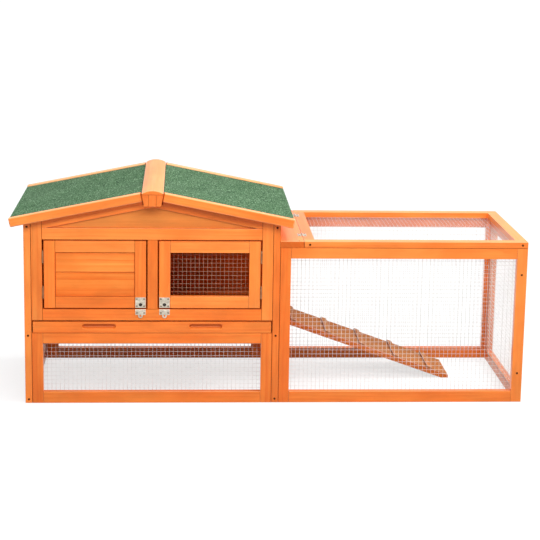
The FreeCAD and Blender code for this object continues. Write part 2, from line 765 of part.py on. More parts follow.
lid_axis_x = "lid_left - lid_slit / 2"
lid_axis_z = "lid_top + hinge_seat"
lid_leaves = []
for rank, centre in (("front", "lid_hinge_inset"), ("back", "house_depth - lid_hinge_inset")):
    fixed = hinge_leaf(f"lid_{rank}_fixed_leaf", -1, True, lying_back)
    swing = hinge_leaf(f"lid_{rank}_lid_leaf", -1, False, lying)
    for leaf in (fixed, swing):
        place(leaf, lid_axis_x, centre, lid_axis_z)
    fixed_leaves.append(fixed)
    lid_leaves.append(swing)
    pins.append(rod(f"lid_{rank}_pin", "pin_radius", "hinge_length", lid_axis_x, f"{centre} - {pin_half}",
                    lid_axis_z, along_y))
node("lid_leaves", lid_leaves)

ramp_leaves = []
for rank, centre in (("near", "ramp_near + ramp_hinge_inset"), ("far", "ramp_far - ramp_hinge_inset")):
    fixed = hinge_leaf(f"ramp_{rank}_fixed_leaf", -1, True, standing)
    place(fixed, "ramp_axis", centre, "ramp_hinge_height")
    fixed_leaves.append(fixed)
    swing = hinge_leaf(f"ramp_{rank}_flat_leaf", -1, False, lying)
    sloped = doc.addObject("Part::Compound", f"ramp_{rank}_leaf")
    sloped.Links = [swing]
    sloped.Placement = FreeCAD.Placement(FreeCAD.Vector(), FreeCAD.Rotation(FreeCAD.Vector(0, 1, 0), 1))
    bind(sloped, "Placement.Rotation.Angle", "ramp_slope")
    place(sloped, "ramp_axis", centre, "ramp_hinge_height")
    ramp_leaves.append(sloped)
    pins.append(rod(f"ramp_{rank}_pin", "pin_radius", "hinge_length", "ramp_axis", f"{centre} - {pin_half}",
                    "ramp_hinge_height", along_y))
node("ramp_leaves", ramp_leaves)
node("fixed_hinge_leaves", fixed_leaves)
node("hinge_pins", pins)

# Hasps: a leaf on the rail, a slotted strap that folds up over a turn knob, and the knob's plate

along_x = FreeCAD.Rotation(FreeCAD.Vector(0, 1, 0), 90)
towards_front = FreeCAD.Rotation(X_AXIS, 90)
plate_y = ("0 - plate_thick", "0")
strap_y = ("hasp_front - plate_thick / 2", "hasp_front + plate_thick / 2")
hasp_leaves = []
hasp_pins = []


def hasp(side, centre):
    half = "hasp_width / 2"
    inner = "strap_width / 2"
    full_x = (f"{centre} - {half}", f"{centre} + {half}")
    outer_spans = [(full_x[0], f"{centre} - {inner} - knuckle_play"),
                   (f"{centre} + {inner} + knuckle_play", full_x[1])]
    leaf_top = "hasp_axis - hinge_seat"
    pieces = [board(f"{side}_hasp_foot", full_x, plate_y, (f"{leaf_top} - hasp_leaf_height", leaf_top))]
    for index, (low, high) in enumerate(outer_spans):
        pieces.append(board(f"{side}_hasp_tab_{index}", (low, high), plate_y, (leaf_top, "hasp_axis")))
        pieces.append(rod(f"{side}_hasp_knuckle_{index}", "barrel_radius", f"({high}) - ({low})", low,
                          "hasp_front", "hasp_axis", along_x))
    bore = rod(f"{side}_hasp_bore", "pin_radius + running_fit", "hasp_width", full_x[0], "hasp_front",
               "hasp_axis", along_x)
    hasp_leaves.append(cut(f"{side}_hasp_leaf", fuse(f"{side}_hasp_leaf_blank", pieces), bore))
    hasp_pins.append(rod(f"{side}_hasp_pin", "pin_radius", "hasp_width", full_x[0], "hasp_front",
                         "hasp_axis", along_x))

    strap_x = (f"{centre} - {inner}", f"{centre} + {inner}")
    round_z = f"hasp_axis - strap_reach + {inner}"
    strap_blank = fuse(f"{side}_strap_blank", [
        board(f"{side}_strap_plate", strap_x, strap_y, (round_z, "hasp_axis")),
        rod(f"{side}_strap_tip", inner, "plate_thick", centre, strap_y[1], round_z, towards_front),
        rod(f"{side}_strap_knuckle", "barrel_radius", "strap_width", strap_x[0], "hasp_front", "hasp_axis",
            along_x),
    ])
    strap_holes = fuse(f"{side}_strap_holes", [
        board(f"{side}_strap_slot",
              (f"{centre} - strap_slot_width / 2", f"{centre} + strap_slot_width / 2"),
              strap_y, ("hasp_axis - strap_slot_far", "hasp_axis - strap_slot_near")),
        rod(f"{side}_strap_bore", "pin_radius + running_fit", "strap_width", strap_x[0], "hasp_front",
            "hasp_axis", along_x),
    ])
    node(f"{side}_hasp_strap", [cut(f"{side}_strap", strap_blank, strap_holes)])

    plate_low = "door_low + plate_rise"
    node(f"{side}_hasp_plate", [board(f"{side}_knob_plate", full_x, plate_y,
                                      (plate_low, f"{plate_low} + plate_height"))])
    blade_back = f"{strap_y[0]} - knob_clear"
    neck = rod(f"{side}_knob_neck", "knob_neck", f"0 - plate_thick - ({blade_back})", centre,
               "0 - plate_thick", "knob_height", towards_front)
    blade = board(f"{side}_knob_blade",
                  (f"{centre} - knob_blade_thick / 2", f"{centre} + knob_blade_thick / 2"),
                  (f"{blade_back} - knob_blade_depth", blade_back),
                  ("knob_height - knob_blade_height / 2", "knob_height + knob_blade_height / 2"))
    node(f"{side}_turn_knob", [fuse(f"{side}_knob", [neck, blade])])


hasp("left", "left_hasp")
hasp("right", "right_hasp")
node("hasp_leaves", hasp_leaves)
node("hasp_pins", hasp_pins)

# Screws driven into the front edges of the posts, the run's end post and the lid's front rail


def screw(name, x, z):
    return fuse(name, [
        rod(name + "_head", "screw_head", "screw_proud", x, "0", z, towards_front),
        rod(name + "_shank", "screw_shank", "screw_length", x, "0", z, along_y),
    ])


post_heights = ("screw_foot", "lower_height - lower_top_rail / 4", "wall_top - screw_below_top")
run_heights = ("run_screw_rise", "run_height - run_screw_drop")
post_screws = [
    screw(f"post_screw_{column}_{row}", x, z)
    for column, x in enumerate(("side_thick / 2", "house_width - side_thick / 2"))
    for row, z in enumerate(post_heights)
]
run_screws = [
    screw(f"run_screw_{row}", "run_right - run_stile / 2", z) for row, z in enumerate(run_heights)
]
node("frame_screws", post_screws + run_screws)
node("lid_screws", [
    screw(f"lid_screw_{index}", x, "lid_low + lid_thick / 2")
    for index, x in enumerate(("lid_left + screw_inset", "run_right - screw_inset"))
])
doc.recompute()

# Wire mesh: one thin sheet with a grid of square gaps, every wire or every few wires drawn


def mesh_sheet(room):
    """Cut the room's thin box into a net of at most MOST_GAPS gaps."""
    sides = [room.Length.Value, room.Width.Value, room.Height.Value]
    thin = sides.index(min(sides))
    across, along = [axis for axis in range(3) if axis != thin]
    wire = sides[thin]
    lap = sheet.get("mesh_lap")
    pitch = sheet.get("mesh_pitch")
    spans = [sides[axis] - 2 * lap for axis in (across, along)]
    step = 1
    while True:
        counts = [max(1, int(span // (step * pitch))) for span in spans]
        if counts[0] * counts[1] <= MOST_GAPS:
            break
        step += 1

    def corner(first, second):
        place_at = [0, 0, 0]
        place_at[across] = first
        place_at[along] = second
        return FreeCAD.Vector(*place_at)

    def loop(low, high):
        ring = [low, (high[0], low[1]), high, (low[0], high[1]), low]
        return Part.makePolygon([corner(*pair) for pair in ring])

    cell = [span / count for span, count in zip(spans, counts)]
    loops = [loop((0, 0), (sides[across], sides[along]))]
    for column in range(counts[0]):
        for row in range(counts[1]):
            low = (lap + column * cell[0] + wire / 2, lap + row * cell[1] + wire / 2)
            loops.append(loop(low, (low[0] + cell[0] - wire, low[1] + cell[1] - wire)))
    face = Part.makeFace(Part.makeCompound(loops), "Part::FaceMakerBullseye")
    depth = [0, 0, 0]
    depth[thin] = wire
    return face.extrude(FreeCAD.Vector(*depth))


for label, room in net_frames:
    mesh = doc.addObject("Part::Feature", label)
    mesh.Label = label
    mesh.Shape = mesh_sheet(room)
    mesh.Placement = FreeCAD.Placement(room.Placement.Base + nodes[0].Placement.Base, FreeCAD.Rotation())
    nodes.append(mesh)
doc.recompute()

# Every piece has to be sound before anything is written

for item in doc.Objects:
    if "Invalid" in item.State or "Error" in item.State:
        raise RuntimeError(f"{item.Label} failed: {item.State}")
for item in nodes:
    if item.Shape.isNull() or not item.Shape.isValid() or not item.Shape.Solids:
        raise RuntimeError(f"{item.Label} is not a sound solid")

os.makedirs("parts", exist_ok=True)
for item in nodes:
    item.Shape.exportStep(f"parts/{item.Label}.step")
print(len(nodes), "sub-parts written")
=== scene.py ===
import json
import math
import random

import bmesh
import bpy
from mathutils import Matrix, Vector


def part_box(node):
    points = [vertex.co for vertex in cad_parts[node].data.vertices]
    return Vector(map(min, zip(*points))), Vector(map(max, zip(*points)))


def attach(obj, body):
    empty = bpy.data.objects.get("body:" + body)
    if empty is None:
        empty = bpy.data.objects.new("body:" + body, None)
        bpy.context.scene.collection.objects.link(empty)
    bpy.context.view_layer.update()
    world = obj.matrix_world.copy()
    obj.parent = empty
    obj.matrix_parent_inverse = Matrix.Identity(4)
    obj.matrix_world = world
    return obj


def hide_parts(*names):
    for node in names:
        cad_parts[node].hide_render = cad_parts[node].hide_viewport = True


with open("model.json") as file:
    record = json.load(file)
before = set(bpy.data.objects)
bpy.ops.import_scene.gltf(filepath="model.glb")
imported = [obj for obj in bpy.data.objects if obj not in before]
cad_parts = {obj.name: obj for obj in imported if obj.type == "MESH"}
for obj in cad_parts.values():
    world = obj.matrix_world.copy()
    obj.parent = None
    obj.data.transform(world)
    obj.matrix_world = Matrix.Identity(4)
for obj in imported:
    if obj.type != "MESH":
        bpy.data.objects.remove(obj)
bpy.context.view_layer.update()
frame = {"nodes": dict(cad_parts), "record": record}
record = frame["record"]
nodes = frame["nodes"]
body_of = {node: body for body, group in record["behaviour"]["bodies"].items() for node in group}
slot_of = {entry["node"]: entry["material_slot"] for entry in record["subparts"]}
MM = 0.001

# Edges of the boards, and how far an edge looks for the next board
EDGE_ROUND = 0.9 * MM
EDGE_ROUNDS = {"left_fascias": 3.6 * MM, "right_fascias": 3.6 * MM, "ridge_cap": 1.4 * MM}
CHAMFER = 2.0 * MM
SHARP_ANGLE = math.radians(25.0)
FLAT_ANGLE = math.radians(1.0)
SEAM_REACH = 3.6 * MM
SEAM_SLACK = 3.7 * MM
SAME_BOARD = 0.1 * MM
BOX_SHARE = 0.7

# Shares of a direction along an axis, from which a face counts as a top, an end, a rim and so on
LIES_ALONG = 0.9
END_FACE = 0.85
TOP_FACE = 0.8
FELT_TOP = 0.6
FASCIA_BACK = 0.6
CLEAT_BACK = 0.5
UPPER_RIM = 0.4
LEANS_OUT = 0.3

# Growth of the boards: the distance to the pith and the place along the tree
PITH_NEAR = 45.0 * MM
PITH_FAR = 110.0 * MM
TREE_REACH = 9.0

# Marks on the faces of the boards, from 0 to 1: dark seams, wear on rims with a painted highlight on upper
# rims and flush tops, and painted shade
SEAM_DEPTH = 0.85
SOFT_SEAM_DEPTH = 0.5
SOFT_SEAMS = ("ridge_beam", "ridge_battens")
UPPER_WEAR_AND_HIGHLIGHT = 1.0
LOWER_WEAR = 0.3
FLUSH_TOP_HIGHLIGHT = 0.8
FLUSH_TOPS = ("run_hinge_board", "lid_frame")
# Painted shade on low tops, in the finger scoops and on the cleats' uphill sides
INNER_TOP_SHADE = 0.3
SCOOP_SHADE = 0.45
CLEAT_SHADE = 0.6
# Tops above this height get a painted highlight, tops below it painted shade
LIT_TOP_HEIGHT = 0.45
# Front faces that stand in shadow: how deep it is, and above which height
SHADED_FRONTS = {"run_hinge_board": (0.5, 0.0), "run_back_frame": (0.3, 0.38), "back_wall_boards": (0.5, 0.0)}

# Tint and warmth of single boards as the photograph shows them, by their number in the node; others are drawn
DEEP = (0.1, 0.1)
DIM = (0.2, 0.3)
PLAIN = (0.45, 0.35)
FAIR = (0.45, 0.8)
MILD = (0.7, 0.4)
PALE = (0.85, 0.9)
SHADES = {
    "upper_front_frame": {3: PALE, 4: DEEP},
    "lower_front_frame": {0: DEEP, 1: DEEP, 2: PLAIN, 3: PLAIN},
    "left_door_frame": {1: PLAIN},
    "left_door_boards": {0: PLAIN, 1: PALE},
    "right_door_frame": {2: PALE, 3: PALE},
    "left_side_frame": {0: PALE},
    "right_side_frame": {0: DIM},
    "tray_front": {0: PLAIN},
    "ridge_cap": {0: PALE},
    "run_front_frame": {0: DEEP, 2: PLAIN, 3: FAIR},
    "run_back_frame": {1: PALE, 2: PLAIN, 3: PLAIN},
    "run_hinge_board": {0: MILD},
    "lid_frame": {1: PALE},
}

# Finger scoops of the tray's front: length, height, rise and depth of each ring
SCOOPED = "tray_front"
SCOOP_RINGS = (
    (102.0 * MM, 16.0 * MM, 0.0, 0.0),
    (100.4 * MM, 14.4 * MM, 0.2 * MM, 1.0 * MM),
    (96.0 * MM, 10.4 * MM, 1.6 * MM, 6.5 * MM),
    (90.0 * MM, 5.6 * MM, 3.2 * MM, 8.6 * MM),
)
SCOOP_STEPS = 5

# Edges of the felt and of the steel parts, and the hinges in the gaps beside the doors, painted darker as
# shade
FELT_ROUND = 0.8 * MM
ZINC_ROUND = 0.2 * MM
DARK_STEEL_ROUND = 0.4 * MM
HINGE_NODES = ("fixed_hinge_leaves", "hinge_pins", "left_door_leaves", "right_door_leaves")
DOOR_BACK = -0.225

# Nets
WIRE_PITCH = 12.7 * MM
WIRE_RADIUS = 0.42 * MM
WIRE_SIDES = 6
WIRE_DEPTHS = (0.47 * MM, 0.73 * MM)
WIRE_INSET = 0.6 * MM
WIRE_SWAY = 0.15 * MM
WIRE_LIFT = 0.02 * MM
NET_MARGIN = 2.0 * MM
BEND_PITCH = 90.0 * MM
FEWEST_BENDS = 4
FINE_WIRE_RADIUS = 0.3 * MM
FINE_NETS = ("right_door", "lid")

# Screws: the rings, recess and shank as shares of the head, and the places where they sit
HEAD_RINGS = ((1.0, 0.0), (1.0, 0.4), (0.84, 0.84), (0.64, 1.0))
RECESS_SLIM = 0.14
RECESS_LONG = 0.55
RECESS_FLOOR = 0.25
SHANK_SHARE = 0.53
TIP_SHARE = 0.1
TIP_LENGTH = 2.0
SCREW_PROUD = 0.8 * MM
SMALL_HEAD = 3.0 * MM
SMALL_PROUD = 0.7 * MM
PLATE_SCREW_ASIDE = 11.0 * MM
PLATE_SCREW_IN = 5.0 * MM
HASP_SCREW_UP = 6.0 * MM
LEAF_SCREW = 8.4 * MM
LEAF_SCREWS_IN = (6.0 * MM, 32.0 * MM)
BOARD_SCREW_IN = 10.0 * MM
BOARD_SCREW_ASIDE = 14.0 * MM
BOARD_SCREW_PROUD = 0.5 * MM

# Sizes of the CAD's hinges
BARREL = 2.0 * MM
SEAT_GAP = 0.3 * MM
LEAF_THICK = 1.0 * MM

# Foot of a turn knob: radius and height of each ring
FLANGE_RINGS = ((5.2 * MM, 0.0), (5.2 * MM, 0.15 * MM), (4.8 * MM, 0.3 * MM), (2.2 * MM, 0.3 * MM))
FLANGE_CORNERS = 24

# Stage and sky
FLOOR_REACH = 40.0
FLOOR_DROP = 0.3 * MM
FLOOR_SEEN = (0.93, 0.945, 0.955)
FLOOR_BOUNCE = (0.36, 0.36, 0.36)
FLOOR_GLOW = 0.7
SKY_COLOUR = (1.0, 0.99, 0.975, 1.0)
SKY_STRENGTH = 0.12
WHITE = (1.0, 1.0, 1.0, 1.0)

# The photograph's camera, fitted to the hutch's corners; its turn is yaw, pitch and roll
CAMERA_PLACE = (-0.27009, -4.58795, 1.45758)
CAMERA_TURN = (0.0606, -0.1882, 0.017)
CAMERA_SENSOR = 36.0
CAMERA_LENS = 98.91
CAMERA_SHIFT = -70.0 / 540.0
CAMERA_FAR = 200.0


# Materials

class Graph:
    """Short names for building a node material."""

    def __init__(self, name):
        self.material = bpy.data.materials.new(name)
        self.material.use_nodes = True
        self.tree = self.material.node_tree
        self.shader = self.tree.nodes["Principled BSDF"]

    def add(self, kind, **settings):
        node = self.tree.nodes.new(kind)
        for key, value in settings.items():
            setattr(node, key, value)
        return node

    def link(self, source, target):
        self.tree.links.new(source, target)

    def feed(self, socket, value):
        if isinstance(value, bpy.types.NodeSocket):
            self.link(value, socket)
        else:
            socket.default_value = value

    def attribute(self, name, output="Fac"):
        return self.add("ShaderNodeAttribute", attribute_name=name).outputs[output]

    def position(self):
        return self.add("ShaderNodeTexCoord").outputs["Object"]

    def scaled(self, vector, factors):
        node = self.add("ShaderNodeVectorMath", operation="MULTIPLY")
        self.link(vector, node.inputs[0])
        node.inputs[1].default_value = factors
        return node.outputs[0]

    def noise(self, vector, scale, detail, rough, distort=0.0):
        node = self.add("ShaderNodeTexNoise")
        self.link(vector, node.inputs["Vector"])
        node.inputs["Scale"].default_value = scale
        node.inputs["Detail"].default_value = detail
        node.inputs["Roughness"].default_value = rough
        node.inputs["Distortion"].default_value = distort
        return node.outputs["Fac"]

    def drawn_out(self, vector, factors, detail, rough, distort=0.0):
        """Noise of a different scale along each axis."""
        return self.noise(self.scaled(vector, factors), 1.0, detail, rough, distort)

    def cells(self, vector, scale):
        node = self.add("ShaderNodeTexVoronoi")
        self.link(vector, node.inputs["Vector"])
        node.inputs["Scale"].default_value = scale
        return node.outputs

    def length(self, vector):
        node = self.add("ShaderNodeVectorMath", operation="LENGTH")
        self.link(vector, node.inputs[0])
        return node.outputs["Value"]

    def chance(self, value):
        node = self.add("ShaderNodeTexWhiteNoise", noise_dimensions="1D")
        self.link(value, node.inputs["W"])
        return node.outputs["Value"]

    def math(self, kind, first, second=0.0):
        node = self.add("ShaderNodeMath", operation=kind)
        self.feed(node.inputs[0], first)
        self.feed(node.inputs[1], second)
        return node.outputs[0]

    def span(self, value, low, high, start=0.0, end=1.0):
        node = self.add("ShaderNodeMapRange")
        sockets = ("Value", "From Min", "From Max", "To Min", "To Max")
        for key, item in zip(sockets, (value, low, high, start, end)):
            self.feed(node.inputs[key], item)
        return node.outputs[0]

    def mix(self, factor, first, second, blend="MIX"):
        node = self.add("ShaderNodeMix", data_type="RGBA", blend_type=blend)
        self.feed(node.inputs[0], factor)
        for socket, value in ((node.inputs[6], first), (node.inputs[7], second)):
            self.feed(socket, value if isinstance(value, bpy.types.NodeSocket) else (*value, 1.0))
        return node.outputs[2]

    def ramp(self, factor, stops):
        node = self.add("ShaderNodeValToRGB")
        bar = node.color_ramp
        while len(bar.elements) < len(stops):
            bar.elements.new(0.5)
        for element, (place, colour) in zip(bar.elements, stops):
            element.position = place
            element.color = (*colour, 1.0)
        self.link(factor, node.inputs[0])
        return node.outputs[0]

    def bump(self, height, strength, distance):
        node = self.add("ShaderNodeBump")
        node.inputs["Strength"].default_value = strength
        node.inputs["Distance"].default_value = distance
        self.link(height, node.inputs["Height"])
        return node.outputs[0]

    def finish(self, colour, rough, normal, **inputs):
        self.link(colour, self.shader.inputs["Base Color"])
        self.link(rough, self.shader.inputs["Roughness"])
        self.link(normal, self.shader.inputs["Normal"])
        for key, value in inputs.items():
            self.feed(self.shader.inputs[key.replace("_", " ")], value)
        return self.material


STAIN_TONE = (0.94, 0.62, 0.36)
# Paler colour of worn rims; on upper rims and flush tops it is partly a painted highlight
WEAR_AND_HIGHLIGHT_TONE = (1.0, 1.8, 5.2)
# Painted highlight: the paler colour of tops high up
PAINTED_TOP_LIGHT_COLOUR = (1.0, 0.5, 0.18)


def toned(colour, factors):
    """A colour with its channels scaled, none of them above one."""
    return tuple(min(1.0, channel * factor) for channel, factor in zip(colour, factors))


def darker(colour, share):
    """A share of a colour."""
    return tuple(share * channel for channel in colour)


def timber(name, light, dark, ring_pitch, ring_share, gloss, spread, varnish):
    """Stained softwood: rings about a pith, streaks, pores, blotches of stain, worn rims with a painted
    highlight on the upper ones, a painted highlight on high tops, and dark seams with painted shade.
    """
    g = Graph(name)
    grain = g.attribute("grain", "Vector")
    end = g.attribute("end")
    painted_top_light = g.attribute("painted_top_light")
    seam_and_shade = g.attribute("seam_and_shade")
    warm = g.attribute("warm")
    wobble = g.drawn_out(grain, (1.3, 8.0, 8.0), 3.0, 0.5)
    streaks = g.drawn_out(grain, (2.4, 80.0, 80.0), 5.0, 0.62)
    pores = g.drawn_out(grain, (26.0, 800.0, 800.0), 2.0, 0.5)
    blotch = g.drawn_out(grain, (3.4, 6.0, 6.0), 4.0, 0.55, 0.6)
    figure = g.drawn_out(grain, (9.0, 26.0, 26.0), 3.0, 0.5)

    from_pith = g.length(g.scaled(grain, (0.0, 1.0, 1.0)))
    radius = g.math("ADD", from_pith, g.span(wobble, 0.0, 1.0, -0.016, 0.016))
    count = g.math("DIVIDE", radius, ring_pitch)
    late = g.math("POWER", g.math("FRACT", count), 2.0)
    rings = g.math("MULTIPLY", late, g.span(g.chance(g.math("FLOOR", count)), 0.0, 1.0, 0.45, 1.0))

    share = g.math("ADD", g.math("MULTIPLY", rings, ring_share), g.span(streaks, 0.32, 0.68, -0.14, 0.38))
    colour = g.mix(share, light, dark)
    colour = g.mix(g.span(blotch, 0.3, 0.7, 0.0, spread), colour, toned(light, STAIN_TONE))
    shade = g.span(g.attribute("tint"), 0.0, 1.0, 0.88, 1.08)
    shade = g.math("MULTIPLY", shade, g.span(pores, 0.62, 0.8, 1.0, 0.84))
    shade = g.math("MULTIPLY", shade, g.span(figure, 0.3, 0.7, 0.9, 1.1))
    tone = g.add("ShaderNodeCombineColor")
    g.link(shade, tone.inputs[0])
    g.link(g.math("MULTIPLY", shade, g.span(warm, 0.0, 1.0, 0.86, 1.12)), tone.inputs[1])
    g.link(g.math("MULTIPLY", shade, g.span(warm, 0.0, 1.0, 0.65, 1.3)), tone.inputs[2])
    colour = g.mix(1.0, colour, tone.outputs[0], "MULTIPLY")
    # Painted highlight: tops high up mixed a little towards a paler colour
    colour = g.mix(g.math("MULTIPLY", painted_top_light, 0.12), colour, PAINTED_TOP_LIGHT_COLOUR)
    colour = g.mix(g.math("MULTIPLY", end, 0.35), colour, darker(dark, 0.85))
    # Worn rims, paler; on upper rims and flush tops the stronger mark is a painted highlight
    wear_and_highlight = g.math("MULTIPLY", g.attribute("edge"), g.span(streaks, 0.35, 0.6, 0.4, 0.9))
    colour = g.mix(wear_and_highlight, colour, toned(light, WEAR_AND_HIGHLIGHT_TONE))
    # Dark seams between boards, and painted shade on faces that stand in shadow
    colour = g.mix(g.math("MULTIPLY", seam_and_shade, 0.8), colour, darker(dark, 0.4))

    height = g.math("ADD", g.math("MULTIPLY", rings, 0.5), g.math("MULTIPLY", streaks, 0.8))
    height = g.math("SUBTRACT", height, g.span(pores, 0.6, 0.8, 0.0, 0.5))
    rough = g.math("ADD", g.span(streaks, 0.3, 0.7, gloss, gloss + 0.12), g.math("MULTIPLY", end, 0.2))
    coat = 0.0
    if varnish:
        coat = g.math("MULTIPLY", g.math("SUBTRACT", g.span(painted_top_light, 0.0, 1.0, 1.0, 0.6), seam_and_shade), varnish)
    return g.finish(colour, rough, g.bump(height, 0.3, 0.5 * MM), Coat_Weight=coat, Coat_Roughness=0.3,
                    Coat_IOR=1.32, Specular_IOR_Level=0.07)


def granules(name):
    """Mineral felt: coloured stone chips of about a millimetre pressed into bitumen, unevenly weathered."""
    g = Graph(name)
    place = g.position()
    chips = g.cells(place, 620.0)
    fine = g.noise(place, 420.0, 3.0, 0.7)
    drift = g.noise(place, 16.0, 4.0, 0.6)
    clump = g.drawn_out(place, (260.0, 80.0, 260.0), 2.0, 0.7)
    pick = g.add("ShaderNodeSeparateColor")
    g.link(chips["Color"], pick.inputs[0])
    mixed = g.math("ADD", g.math("MULTIPLY", pick.outputs[0], 0.3), g.span(clump, 0.2, 0.8, -0.1, 0.8))
    mixed = g.math("ADD", mixed, g.span(drift, 0.3, 0.7, -0.05, 0.05))
    colour = g.ramp(mixed, [(0.22, (0.006, 0.024, 0.009)), (0.42, (0.034, 0.092, 0.036)),
                            (0.6, (0.069, 0.15, 0.069)), (0.8, (0.22, 0.32, 0.21))])
    dirt = g.span(g.noise(place, 5.0, 5.0, 0.6), 0.45, 0.75, 0.0, 0.22)
    colour = g.mix(dirt, colour, (0.09, 0.14, 0.09))
    height = g.math("ADD", g.math("MULTIPLY", chips["Distance"], -0.8), fine)
    return g.finish(colour, g.span(fine, 0.3, 0.7, 0.75, 0.98), g.bump(height, 0.55, 0.8 * MM),
                    Specular_IOR_Level=0.2)


def metal(name, light, dark, rough, shine, glint=0.5):
    """Plated steel: cloudy plating, fine scratches and duller handled spots."""
    g = Graph(name)
    place = g.position()
    cloud = g.noise(place, 90.0, 4.0, 0.6)
    grit = g.noise(place, 900.0, 2.0, 0.6)
    lines = g.drawn_out(place, (300.0, 1800.0, 300.0), 2.0, 0.5)
    colour = g.mix(g.span(cloud, 0.3, 0.7), dark, light)
    colour = g.mix(g.span(grit, 0.6, 0.75, 0.0, 0.45), colour, darker(dark, 0.55))
    handled = g.span(cloud, 0.3, 0.7, rough, rough + 0.16)
    roughness = g.math("ADD", handled, g.span(lines, 0.4, 0.7, -0.05, 0.08))
    return g.finish(colour, roughness, g.bump(g.math("ADD", lines, grit), 0.12, 0.2 * MM), Metallic=shine,
                    Specular_IOR_Level=glint)


def backing(name):
    """Cut edge and underside of the felt: dark bitumen with fibres."""
    g = Graph(name)
    fibre = g.drawn_out(g.position(), (60.0, 400.0, 400.0), 3.0, 0.6)
    colour = g.mix(g.span(fibre, 0.35, 0.7), (0.02, 0.05, 0.03), (0.05, 0.1, 0.065))
    return g.finish(colour, g.span(fibre, 0.3, 0.7, 0.7, 0.9), g.bump(fibre, 0.3, 0.4 * MM))


FIR_LIGHT = (1.0, 0.302, 0.054)
FIR_DARK = (0.8, 0.115, 0.009)
BOARD_LIGHT = (1.0, 0.304, 0.054)
PLY_LIGHT = (0.90, 0.34, 0.085)
PLY_DARK = (0.64, 0.185, 0.043)
RAMP_LIGHT = (0.57, 0.25, 0.095)
RAMP_DARK = (0.36, 0.135, 0.043)
RAMP_SIDE_LIGHT = (0.84, 0.27, 0.075)
RAMP_SIDE_DARK = (0.56, 0.13, 0.026)
wood = {
    "frame_timber": timber("stained_fir", FIR_LIGHT, FIR_DARK, 11.0 * MM, 0.4, 0.38, 0.8, 1.0),
    "board_timber": timber("stained_boards", BOARD_LIGHT, FIR_DARK, 14.0 * MM, 0.55, 0.38, 0.75, 0.6),
    "plywood": timber("stained_plywood", PLY_LIGHT, PLY_DARK, 30.0 * MM, 0.4, 0.45, 0.5, 0.4),
    "ramp_timber": timber("ramp_fir", RAMP_LIGHT, RAMP_DARK, 9.0 * MM, 0.5, 0.65, 0.5, 0.0),
}
ramp_stain = timber("ramp_stain", RAMP_SIDE_LIGHT, RAMP_SIDE_DARK, 9.0 * MM, 0.4, 0.55, 0.5, 0.0)
felt = granules("mineral_felt")
felt_edge = backing("felt_edge")
zinc = metal("zinc_plate", (0.74, 0.68, 0.57), (0.40, 0.35, 0.27), 0.32, 0.9)
small_screw = metal("zinc_screw", (0.36, 0.29, 0.21), (0.16, 0.12, 0.08), 0.4, 0.9)
# Painted shade: a darker brown steel for the hinges in the door gaps
shaded_hinge_steel = metal("hinge_in_painted_shade", (0.40, 0.22, 0.11), (0.2, 0.09, 0.04), 0.5, 0.6)
wire = metal("galvanised_wire", (0.87, 0.86, 0.84), (0.73, 0.72, 0.70), 0.5, 0.1)
door_wire = metal("shaded_wire", (0.76, 0.53, 0.37), (0.54, 0.36, 0.25), 0.6, 0.2)
dark_steel = metal("dark_plated_steel", (0.07, 0.058, 0.05), (0.022, 0.018, 0.016), 0.38, 0.8)
screw_steel = metal("phosphated_screw", (0.12, 0.026, 0.005), (0.06, 0.012, 0.003), 0.7, 0.0, 0.1)


# Meshes

def blank_board():
    """An empty mesh with room for the marks that the timber reads."""
    mesh = bmesh.new()
    mesh.verts.layers.float_vector.new("grain")
    for name in ("tint", "warm"):
        mesh.verts.layers.float.new(name)
    for name in ("edge", "seam_and_shade", "end", "painted_top_light"):
        mesh.faces.layers.float.new(name)
    return mesh


def solid_mesh(faces):
    """One solid from its triangles, with those of a flat face joined."""
    mesh = blank_board()
    verts = {}
    for corners in faces:
        for place in corners:
            if place not in verts:
                verts[place] = mesh.verts.new(place)
        mesh.faces.new([verts[place] for place in corners])
    mesh.normal_update()
    bmesh.ops.dissolve_limit(mesh, angle_limit=FLAT_ANGLE, verts=mesh.verts, edges=mesh.edges)
    return mesh


def solids(node):
    """A clean mesh for each solid of a CAD node. A solid ends where every edge has met its twin."""
    data = nodes[node].data
    places = [vert.co.to_tuple() for vert in data.vertices]
    found = []
    faces = []
    waiting = set()
    for face in data.polygons:
        corners = [places[index] for index in face.vertices]
        faces.append(corners)
        for edge in zip(corners, corners[1:] + corners[:1]):
            waiting ^= {frozenset(edge)}
        if not waiting:
            found.append(solid_mesh(faces))
            faces = []
    return found


def joined(meshes):
    """Several meshes as one, each still a closed shell of its own."""
    whole = bmesh.new()
    for mesh in meshes:
        data = bpy.data.meshes.new("shell")
        mesh.to_mesh(data)
        mesh.free()
        whole.from_mesh(data)
        bpy.data.meshes.remove(data)
    return whole


def piece(name, mesh, materials, body, replaced=(), flat_faces=True):
    """Turn a mesh into a piece that rides a body and stands for CAD nodes."""
    data = bpy.data.meshes.new(name)
    mesh.to_mesh(data)
    mesh.free()
    item = bpy.data.objects.new(name, data)
    bpy.context.scene.collection.objects.link(item)
    for material in materials:
        data.materials.append(material)
    data.polygons.foreach_set("use_smooth", [True] * len(data.polygons))
    if flat_faces:
        weigh = item.modifiers.new("flat faces stay flat", "WEIGHTED_NORMAL")
        weigh.keep_sharp = True
        weigh.weight = 100
    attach(item, body)
    if replaced:
        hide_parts(*replaced)


def rounded(mesh, width, segments=2):
    """Round every sharp edge of a mesh, and return the set of the new narrow faces."""
    edges = [edge for edge in mesh.edges if len(edge.link_faces) == 2]
    sharp = [edge for edge in edges if edge.calc_face_angle() > SHARP_ANGLE]
    made = bmesh.ops.bevel(mesh, geom=sharp, offset=width, offset_type="OFFSET", segments=segments,
                           profile=0.5, affect="EDGES", clamp_overlap=True)
    return set(made["faces"])


